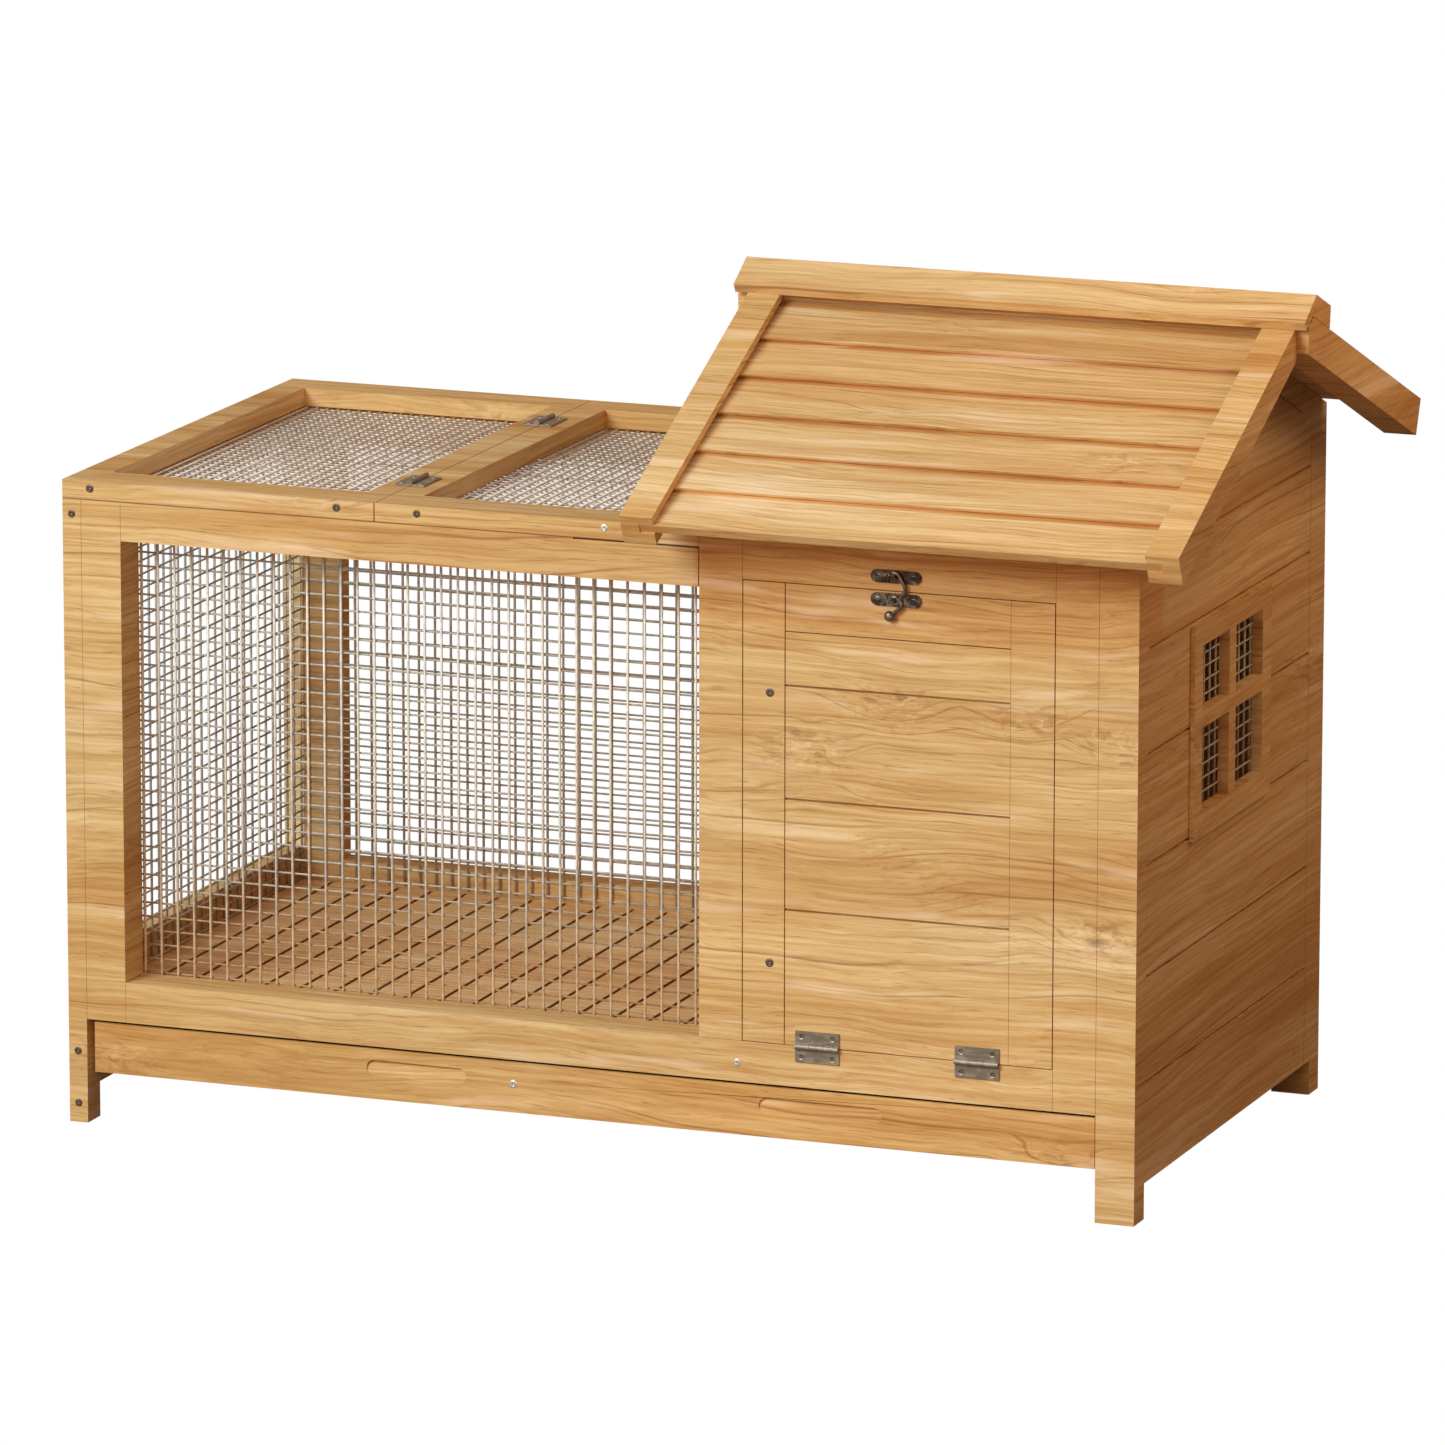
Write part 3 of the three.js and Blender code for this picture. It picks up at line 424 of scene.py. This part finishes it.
def wood(name, tones, line=LINE_COLOUR, roughness=0.55, painted_shade=None, painted_shade_tone=None):
    """Sawn softwood. Tones and line are screen values; an optional mask finds where a tone is multiplied
    in, as painted shade.
    """
    material = bpy.data.materials.new(name)
    t = Tree(material)
    tones = [srgb(*tone) for tone in tones]
    line = srgb(*line)
    grain = shifted(t, grain_space(t), 0.030, (3.0, 5.0, 5.0))
    wavy = shifted(t, grain, 0.010, (9.0, 22.0, 22.0))
    near, core = knots(t, shifted(t, grain, 0.022, (14.0, 26.0, 26.0), 3.0))
    fibres = t.noise(wavy, (6.0, 300.0, 300.0), 4.0, 0.65)
    dashes = t.span(t.noise(wavy, (24.0, 800.0, 800.0), 2.0, 0.6), 0.58, 0.72)
    main, second = ring_lines(t, grain, wavy, near)

    colour = broad_tones(t, grain, tones)
    # Painted shade where a mask is given: shadows under the front roof slats' laps, and shade on the
    # sides of the floor's slots
    if painted_shade:
        colour = t.mix(painted_shade(t), colour, painted_shade_tone, "MULTIPLY")
    colour = streaked(t, colour, wavy, fibres)
    colour = t.mix(t.math("MAXIMUM", main, second), colour, line)
    colour = t.mix(t.times(dashes, 0.42), colour, line)
    colour = curled(t, colour, grain, wavy, near, tones[0], line)
    heart = tuple(0.5 * channel for channel in line[:3]) + (1,)
    colour = t.mix(t.times(core, 0.55), colour, heart)
    # Painted shade: a dark line in the gap along the lid's front edge
    colour = t.mix(t.times(painted_lid_gap_shade(t), 0.6), colour, line)

    relief = t.math("ADD", t.times(fibres, 0.7), t.times(main, -0.6))
    bump = t.add("ShaderNodeBump", {"Height": relief, "Strength": 0.3, "Distance": 0.4 * MM})
    rough = t.span(fibres, 0.2, 0.8, roughness + 0.12, roughness - 0.08)
    t.surface(t.principled(colour, rough, bump, metallic=0.0, shine=0.3))
    return material


def make_woods():
    """Every wood by the slot or tint it is for. The floor is painted lighter than the pine, as painted
    light for the run's dim inside, with painted shade on the sides of its slots.
    """
    return {
        "timber": wood("pine", ((235, 207, 158), (219, 184, 128), (199, 151, 91))),
        "warm_timber": wood("warm_pine", ((231, 193, 134), (211, 166, 104), (190, 139, 78))),
        # Paler pine on the roof's top faces: painted light; the front slats also get painted lap shadows
        "pale_timber": wood("pale_pine", PALE_TONES),
        "slat_timber": wood("slat_pine", PALE_TONES, painted_shade=painted_lap_shadow, painted_shade_tone=(0.80, 0.58, 0.38, 1)),
        # The floor: pine painted lighter as painted light, and painted shade on the sides of its slots
        "floor_timber": wood("floor_pine", ((255, 226, 171), (250, 206, 152), (232, 182, 127)),
                             (136, 92, 54), 0.6, faces_sideways, (0.46, 0.34, 0.24, 1)),
        "tray_sheet": wood("tray_sheet", ((196, 160, 112), (182, 144, 96), (164, 126, 82)),
                           (130, 92, 54), 0.6),
    }


# Metal

def metal(name, base, worn, metallic, roughness, brushed, relief=0.15, shine=0.5, floor_shading_tone=None):
    """Rolled or plated metal with fine brush marks, dull patches and rubbed spots.

    Base, worn and the tone near the run's floor are screen values; that last tone is painted light and
    shade.
    """
    material = bpy.data.materials.new(name)
    t = Tree(material)
    place = t.coordinate("Object")
    patches = t.noise(place, (120.0, 120.0, 120.0), 3.0, 0.6)
    brush = t.noise(place, tuple(6 * scale for scale in brushed), 2.0, 0.6)
    colour = t.mix(t.span(patches, 0.45, 0.75), srgb(*base), srgb(*worn))
    # Painted light and shade: near the run's floor the uprights turn lighter and the level wires darker
    # and browner
    if floor_shading_tone:
        colour = t.mix(painted_floor_shading(t), colour, srgb(*floor_shading_tone))
    shade = t.ramp(t.span(brush, 0.3, 0.7), (0.0, (0.8, 0.8, 0.8, 1)), (1.0, (1.1, 1.1, 1.1, 1)))
    colour = t.mix(1.0, colour, shade, "MULTIPLY")
    uneven = t.math("ADD", t.times(brush, 0.5), t.times(patches, 0.5))
    rough = t.span(uneven, 0.3, 0.7, roughness - 0.1, roughness + 0.12)
    bump = t.add("ShaderNodeBump", {"Height": brush, "Strength": relief, "Distance": 0.2 * MM})
    t.surface(t.principled(colour, rough, bump, metallic, shine))
    return material


def make_metals():
    """Every metal by the slot or part it is for."""
    rolled = (8, 60, 60)
    plated = (60, 60, 60)
    cast = (130, 130, 130)
    return {
        # One galvanised wire in three copies, painted light and shade: lighter on the front's uprights
        # and on the lid and top panel, darker on the level wires and the other panels
        "wire": metal("galvanised_wire", (232, 224, 210), (244, 236, 224), 0.0, 0.5, WIRE_GRAIN,
                      relief=0.05, floor_shading_tone=(255, 240, 214)),
        "level_wire": metal("dull_wire", (190, 182, 168), (206, 198, 184), 0.1, 0.75, WIRE_GRAIN,
                            relief=0.05, shine=0.15, floor_shading_tone=(188, 150, 108)),
        "lid_wire": metal("bright_wire", (248, 238, 224), (255, 248, 238), 0.05, 0.42, WIRE_GRAIN),
        "hinge_steel": metal("brushed_steel", (154, 142, 124), (176, 164, 146), 0.45, 0.40, rolled),
        "latch_bronze": metal("dark_bronze", (78, 66, 56), (160, 146, 132), 0.6, 0.32, cast, relief=0.7),
        # A lighter copy of the latch's bronze, painted light for the hook's lit arm
        "hook_bronze": metal("hook_bronze", (112, 98, 86), (188, 174, 160), 0.6, 0.26, cast, relief=0.4),
        "dark_screw": metal("dark_screw", (112, 96, 80), (84, 70, 56), 0.6, 0.5, plated),
        # Near-black screw heads in the hinge holes: painted shade
        "hole_shade": metal("hole_shade", (26, 20, 14), (44, 34, 26), 0.2, 0.7, plated),
        "bright_screw": metal("bright_screw", (226, 216, 208), (206, 196, 188), 0.5, 0.35, plated),
    }


# Mesh helpers

def add_object(name, data):
    added = bpy.data.objects.new(name, data)
    bpy.context.scene.collection.objects.link(added)
    return added


def add_mesh(name, bm, material):
    mesh = bpy.data.meshes.new(name)
    bm.to_mesh(mesh)
    bm.free()
    mesh.materials.append(material)
    return add_object(name, mesh)


def add_piece(name, bm, material, body):
    piece = add_mesh(name, bm, material)
    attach(piece, body)
    return piece


def facing(direction):
    """The turn that takes +Z to a direction."""
    return direction.to_track_quat("Z", "Y").to_matrix()


def add_ring(bm, centre, turn, radius, height, steps, first=0.0):
    """Vertices in a circle about the turned Z axis, at a height along it."""
    ring = []
    for i in range(steps):
        angle = 2 * math.pi * (i + first) / steps
        offset = Vector((radius * math.cos(angle), radius * math.sin(angle), height))
        ring.append(bm.verts.new(centre + turn @ offset))
    return ring


def add_rod(bm, start, end, radius, sides=8):
    """A closed round rod between two points."""
    turn = facing(end - start)
    foot = add_ring(bm, start, turn, radius, 0, sides, 0.5)
    head = add_ring(bm, end, turn, radius, 0, sides, 0.5)
    for i in range(sides):
        j = (i + 1) % sides
        face = bm.faces.new((foot[i], foot[j], head[j], head[i]))
        face.smooth = True
    bm.faces.new(reversed(foot))
    bm.faces.new(head)


def add_turned(bm, centre, outward, profile, hollow=False):
    """A solid of revolution about outward; the profile lists radius and height in millimetres."""
    turn = facing(outward)
    loops = []
    for radius, height in profile:
        steps = TURNED_STEPS if radius else 1
        loops.append(add_ring(bm, centre, turn, radius * MM, height * MM, steps))
    pairs = list(zip(loops, loops[1:]))
    if hollow:
        pairs.append((loops[-1], loops[0]))
    for upper, lower in pairs:
        for i in range(TURNED_STEPS):
            j = (i + 1) % TURNED_STEPS
            corners = (upper[i % len(upper)], lower[i % len(lower)],
                       lower[j % len(lower)], upper[j % len(upper)])
            face = bm.faces.new(tuple(dict.fromkeys(corners)))
            face.smooth = True


# CAD nodes

def dress_frame(materials):
    """Gives each carried-over CAD node its material and eased edges."""
    slots = {part["node"]: part["material_slot"] for part in frame["record"]["subparts"]}
    for name, node in frame["nodes"].items():
        look = next((tint for key, tint in TINTS.items() if key in name), slots[name])
        node.data.materials.clear()
        node.data.materials.append(materials[look])
        plane = node.modifiers.new("join_flat_faces", "DECIMATE")
        plane.decimate_type = "DISSOLVE"
        plane.angle_limit = math.radians(0.5)
        edge = node.modifiers.new("eased_edges", "BEVEL")
        edge.limit_method = "ANGLE"
        edge.angle_limit = math.radians(38)
        edge.segments = 2
        edge.width = next((width for key, width in BEVEL.items() if key in name), WOOD_BEVEL)


# Welded wire panels

def wire_layer(box, across, along, normal, depth, pitch, radius):
    """A mesh of the wires that run one way over a panel, each a little off its place."""
    low, high = box
    bm = bmesh.new()
    room = high[across] - low[across] - 2 * radius
    count = round(room / pitch)
    for i in range(count + 1):
        slack = random.uniform(-WIRE_SLACK_MM, WIRE_SLACK_MM) * MM
        start = Vector((0, 0, 0))
        start[normal] = depth
        start[across] = low[across] + radius + room * i / count + slack
        end = start.copy()
        start[along] = low[along]
        end[along] = high[along]
        end[across] += random.uniform(-WIRE_SKEW_MM, WIRE_SKEW_MM) * MM
        add_rod(bm, start, end, radius)
    return bm


def wire_panel(node, materials, normal, pitches=SIDE_PITCH, radii=SIDE_WIRE_R):
    """Every wire of one panel: upright wires, and level wires welded on behind them.

    On the lid and the top panel, the first layer runs to the back and the second to the right.
    """
    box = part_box(node)
    flat = normal == 2
    a, b = [axis for axis in range(3) if axis != normal]
    near = box[1] if flat else box[0]
    inward = -1 if flat else 1
    first, second = radii
    depth = near[normal] + inward * first
    behind = depth + inward * (first + second)
    layers = (
        ("first", wire_layer(box, a, b, normal, depth, pitches[0], first)),
        ("second", wire_layer(box, b, a, normal, behind, pitches[1], second)),
    )
    body = frame["nodes"][node]["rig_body"]
    for (layer, bm), look in zip(layers, WIRE_LOOKS.get(node, DULL_LOOKS)):
        name = node.replace("_mesh", f"_{layer}_wires")
        add_piece(name, bm, materials[look], body)
    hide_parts(node)


def add_wires(materials):
    for node in ("left_side_mesh", "window_mesh"):
        wire_panel(node, materials, 0)
    for node in ("front_mesh", "back_mesh"):
        wire_panel(node, materials, 1)
    for node in ("run_lid_mesh", "top_panel_mesh"):
        wire_panel(node, materials, 2, TOP_PITCH, TOP_WIRE_R)


# Gable joint

def gable_tongue(materials):
    """The tongue in the joint of the gable wall and the rear leg, which closes the joint to light."""
    wall_low, wall_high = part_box("right_gable_wall")
    leg_low, leg_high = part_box("right_rear_leg")
    x = (wall_low.x + wall_high.x) / 2
    y = (wall_high.y + leg_low.y) / 2
    foot = Vector((x, y, wall_low.z + 0.3 * MM))
    head = Vector((x, y, leg_high.z - 20 * MM))
    bm = bmesh.new()
    add_rod(bm, foot, head, 0.9 * MM)
    add_piece("gable_joint_tongue", bm, materials["timber"], "hutch")


# Screws

def screw_head(bm, centre, outward, radius, rise=0.5 * MM):
    """A low domed head with a cross recess, as a polar grid pressed in where the cross is."""
    turn = facing(outward)
    spin = Matrix.Rotation(random.uniform(0, math.pi / 2), 3, "Z")
    rings = []
    for share in HEAD_SHARES:
        ring = []
        for i in range(HEAD_STEPS):
            angle = 2 * math.pi * i / HEAD_STEPS
            x = share * math.cos(angle)
            y = share * math.sin(angle)
            in_cross = min(abs(x), abs(y)) < CROSS_HALF_WIDTH and max(abs(x), abs(y)) < CROSS_REACH
            pressed = CROSS_DEPTH * (1 - share) if in_cross else 0
            place = Vector((x * radius, y * radius, rise * (1 - share ** 4) - pressed))
            ring.append(bm.verts.new(centre + turn @ (spin @ place)))
        rings.append(ring)
    middle = bm.verts.new(centre + turn @ Vector((0, 0, rise - 0.6 * MM)))
    base = [bm.verts.new(vert.co - outward * HEAD_SKIRT) for vert in rings[-1]]
    rings.append(base)
    for i in range(HEAD_STEPS):
        j = (i + 1) % HEAD_STEPS
        bm.faces.new((middle, rings[0][i], rings[0][j]))
        for inner, outer in zip(rings, rings[1:]):
            bm.faces.new((inner[i], outer[i], outer[j], inner[j]))
    bm.faces.new(reversed(base))


def add_screws(name, places, radius, material, body):
    bm = bmesh.new()
    for place in places:
        screw_head(bm, place, FRONT, radius)
    add_piece(name, bm, material, body)


def front_screws(materials):
    """Screws in the front timbers, each placed from its own timber's box."""
    lid_low, lid_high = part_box("run_lid_frame")
    panel_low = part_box("top_panel_frame")[0]
    leg_low, leg_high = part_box("left_front_leg")
    stile_low, stile_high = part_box("door_left_stile")
    rail_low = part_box("front_bottom_rail")[0]
    board_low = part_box("tray_front_board")[0]
    y = lid_low.y
    z = lid_high.z - 6 * MM
    leg_x = (leg_low.x + leg_high.x) / 2
    stile_x = stile_high.x - 12 * MM
    lid = [Vector((lid_low.x + 23.9 * MM, y, z)), Vector((lid_high.x - 31.5 * MM, y, z))]
    panel = [Vector((panel_low.x + 35.7 * MM, y, z))]
    leg = [Vector((leg_x, leg_low.y, height * MM)) for height in (496.8, 58.8, 15.9)]
    door = [Vector((stile_x, stile_low.y, height * MM)) for height in (398.6, 183.4)]
    bright = [Vector((panel_low.x + 193 * MM, y, z)),
              Vector((stile_x - 27 * MM, rail_low.y, rail_low.z + 15 * MM))]
    tray = [Vector((board_low.x + 360.6 * MM, board_low.y, board_low.z + 23 * MM))]
    for name, places, radius, look, body in (
        ("lid_screws", lid, 3.4 * MM, "dark_screw", "run_lid"),
        ("frame_screws", panel + leg, 3.2 * MM, "dark_screw", "hutch"),
        ("door_screws", door, 3.5 * MM, "dark_screw", "door"),
        ("bright_screws", bright, 3.1 * MM, "bright_screw", "hutch"),
        ("tray_screw", tray, 3.3 * MM, "bright_screw", "tray"),
    ):
        add_screws(name, places, radius, materials[look], body)


# Hinges

def eyelet(bm, centre, outward, inner, outer, rise):
    """A raised round lip that slopes in to a sunken hole."""
    profile = (
        (outer, 0.0),
        (outer - 0.15 * MM, rise),
        (outer - 0.35 * MM, rise),
        (inner, 0.06 * MM),
        (inner, 0.0),
    )
    turn = facing(outward)
    loops = [add_ring(bm, centre, turn, radius, lift, EYELET_STEPS) for radius, lift in profile]
    for loop, inside in zip(loops, loops[1:] + loops[:1]):
        for i in range(EYELET_STEPS):
            j = (i + 1) % EYELET_STEPS
            bm.faces.new((loop[i], loop[j], inside[j], inside[i]))


def leaf_holes(materials, leaf, body, across, out):
    """Two screws in small lips, near a leaf's outer corners; their heads are near black, painted shade
    of the holes. Across is the axis away from the pin.
    """
    low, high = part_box(leaf)
    upright = across == 2
    along, normal = (0, 1) if upright else (1, 2)
    outer_is_low = ("fixed" in leaf) == upright
    centre = (low + high) / 2
    centre[across] = low[across] + HOLE_FROM_EDGE if outer_is_low else high[across] - HOLE_FROM_EDGE
    centre[normal] = high[normal] - LEAF_T if upright else low[normal] + LEAF_T
    lips = bmesh.new()
    heads = bmesh.new()
    for side in (-1, 1):
        place = centre.copy()
        place[along] += side * ((high[along] - low[along]) / 2 - HOLE_FROM_END)
        eyelet(lips, place, out, inner=1.5 * MM, outer=2.8 * MM, rise=0.4 * MM)
        screw_head(heads, place, out, 1.7 * MM, 0.12 * MM)
    add_piece(f"{leaf}_lips", lips, materials["hinge_steel"], body)
    # The heads are near black: painted shade of the holes
    add_piece(f"{leaf}_screws", heads, materials["hole_shade"], body)


def hinge_holes(materials):
    """Four screws in each hinge, two to a leaf, their heads near black as painted shade of the holes."""
    for number in (1, 2):
        for stem, moving, across, out in HINGES:
            hinge = f"{stem}_hinge_{number}"
            leaf_holes(materials, f"{hinge}_fixed_leaf", "hutch", across, out)
            leaf_holes(materials, f"{hinge}_{stem}_leaf", moving, across, out)


# Latch

def hook_arm(materials, pivot, depth):
    """A bent round arm: from the knob, past the boss on the door plate's pin, up and over the stud."""
    curve = bpy.data.curves.new("hook_path", "CURVE")
    curve.dimensions = "3D"
    curve.bevel_depth = HOOK_R
    curve.bevel_resolution = 4
    curve.resolution_u = 8
    curve.use_fill_caps = True
    line = curve.splines.new("BEZIER")
    line.bezier_points.add(len(HOOK_PATH) - 1)
    for point, (x, z) in zip(line.bezier_points, HOOK_PATH):
        point.co = (pivot.x + x * MM, depth, pivot.z + z * MM)
        point.handle_left_type = "AUTO"
        point.handle_right_type = "AUTO"
    line.bezier_points[-1].radius = HOOK_TIP_SHARE
    curve.materials.append(materials["hook_bronze"])
    arm = add_object("hook_arm", curve)
    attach(arm, "latch")
    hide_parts("latch_hook")


def latch_hook(materials):
    """The hook's arm, and the knob and the boss that it carries."""
    low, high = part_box("latch_door_plate")
    pivot = (low + high) / 2
    depth = high.y - HOOK_FORWARD
    hook_arm(materials, pivot, depth)
    knob = Vector((pivot.x - 4.4 * MM, depth - 0.6 * MM, pivot.z - 12.6 * MM))
    boss = Vector((pivot.x, depth + 1.3 * MM, pivot.z))
    bm = bmesh.new()
    add_turned(bm, knob, FRONT, KNOB_PROFILE)
    add_turned(bm, boss, FRONT, BOSS_PROFILE, hollow=True)
    add_piece("hook_knob_and_boss", bm, materials["hook_bronze"], "latch")


def latch_details(materials):
    """Two screws in each plate, and two low cast ribs across it, sunk where the hook passes."""
    bronze = materials["latch_bronze"]
    for plate, body in LATCH_PLATES:
        low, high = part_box(plate)
        middle = (low + high) / 2
        face = high.y - PLATE_T
        ends = (low.x + PLATE_SCREW_FROM_END, high.x - PLATE_SCREW_FROM_END)
        places = [Vector((x, face, middle.z)) for x in ends]
        add_screws(f"{plate}_screws", places, 2.6 * MM, bronze, body)
        bm = bmesh.new()
        for offset in RIB_OFFSETS:
            rib = Vector((middle.x + offset, face + RIB_SUNK[body], middle.z))
            add_rod(bm, rib - RIB_HALF, rib + RIB_HALF, RIB_R)
        add_piece(f"{plate}_ribs", bm, bronze, body)


# Stage

def add_floor():
    """A floor that looks white to the camera and sends a little warm light up."""
    material = bpy.data.materials.new("studio_floor")
    t = Tree(material)
    diffuse = t.add("ShaderNodeBsdfDiffuse", {"Color": FLOOR_COLOUR})
    glow = t.add("ShaderNodeEmission", {"Color": WHITE, "Strength": 1.0})
    t.surface(t.unless_camera(diffuse, glow))
    bm = bmesh.new()
    bmesh.ops.create_grid(bm, x_segments=4, y_segments=4, size=FLOOR_SIZE)
    floor = add_mesh("studio_floor", bm, material)
    floor.location.z = -FLOOR_DROP


def add_world():
    """White behind the object; a dimmer, warmer light from all round for everything else."""
    world = bpy.data.worlds.new("studio")
    bpy.context.scene.world = world
    t = Tree(world)
    fill = t.add("ShaderNodeBackground", {"Color": WORLD_FILL, "Strength": WORLD_FILL_STRENGTH})
    white = t.add("ShaderNodeBackground", {"Color": WHITE, "Strength": 1.0})
    shader = t.unless_camera(fill, white)
    t.add("ShaderNodeOutputWorld", {"Surface": shader.outputs[0]})


def add_light(name, place, power, size, colour):
    """A square light that points at the hutch and is not seen itself."""
    light = bpy.data.lights.new(name, "AREA")
    light.energy = power
    light.size = size
    light.color = colour
    holder = add_object(name, light)
    holder.location = place
    holder.rotation_euler = (TARGET - Vector(place)).to_track_quat("-Z", "Y").to_euler()
    holder.visible_camera = False


def add_camera():
    level = math.cos(ELEVATION)
    away = Vector((math.sin(AZIMUTH) * level, -math.cos(AZIMUTH) * level, math.sin(ELEVATION)))
    camera = bpy.data.cameras.new("camera")
    camera.lens = LENS_MM
    camera.sensor_width = SENSOR_MM
    camera.clip_end = CLIP_END
    holder = add_object("camera", camera)
    turn = (-away).to_track_quat("-Z", "Y").to_matrix().to_4x4()
    place = Matrix.Translation(TARGET + DISTANCE * away)
    holder.matrix_world = place @ turn @ Matrix.Rotation(ROLL, 4, "Z")
    bpy.context.scene.camera = holder


def main():
    bpy.context.scene.view_settings.view_transform = "Standard"
    add_camera()
    add_world()
    add_floor()
    for light in LIGHTS:
        add_light(*light)
    materials = make_woods() | make_metals()
    dress_frame(materials)
    add_wires(materials)
    gable_tongue(materials)
    front_screws(materials)
    hinge_holes(materials)
    latch_hook(materials)
    latch_details(materials)


main()
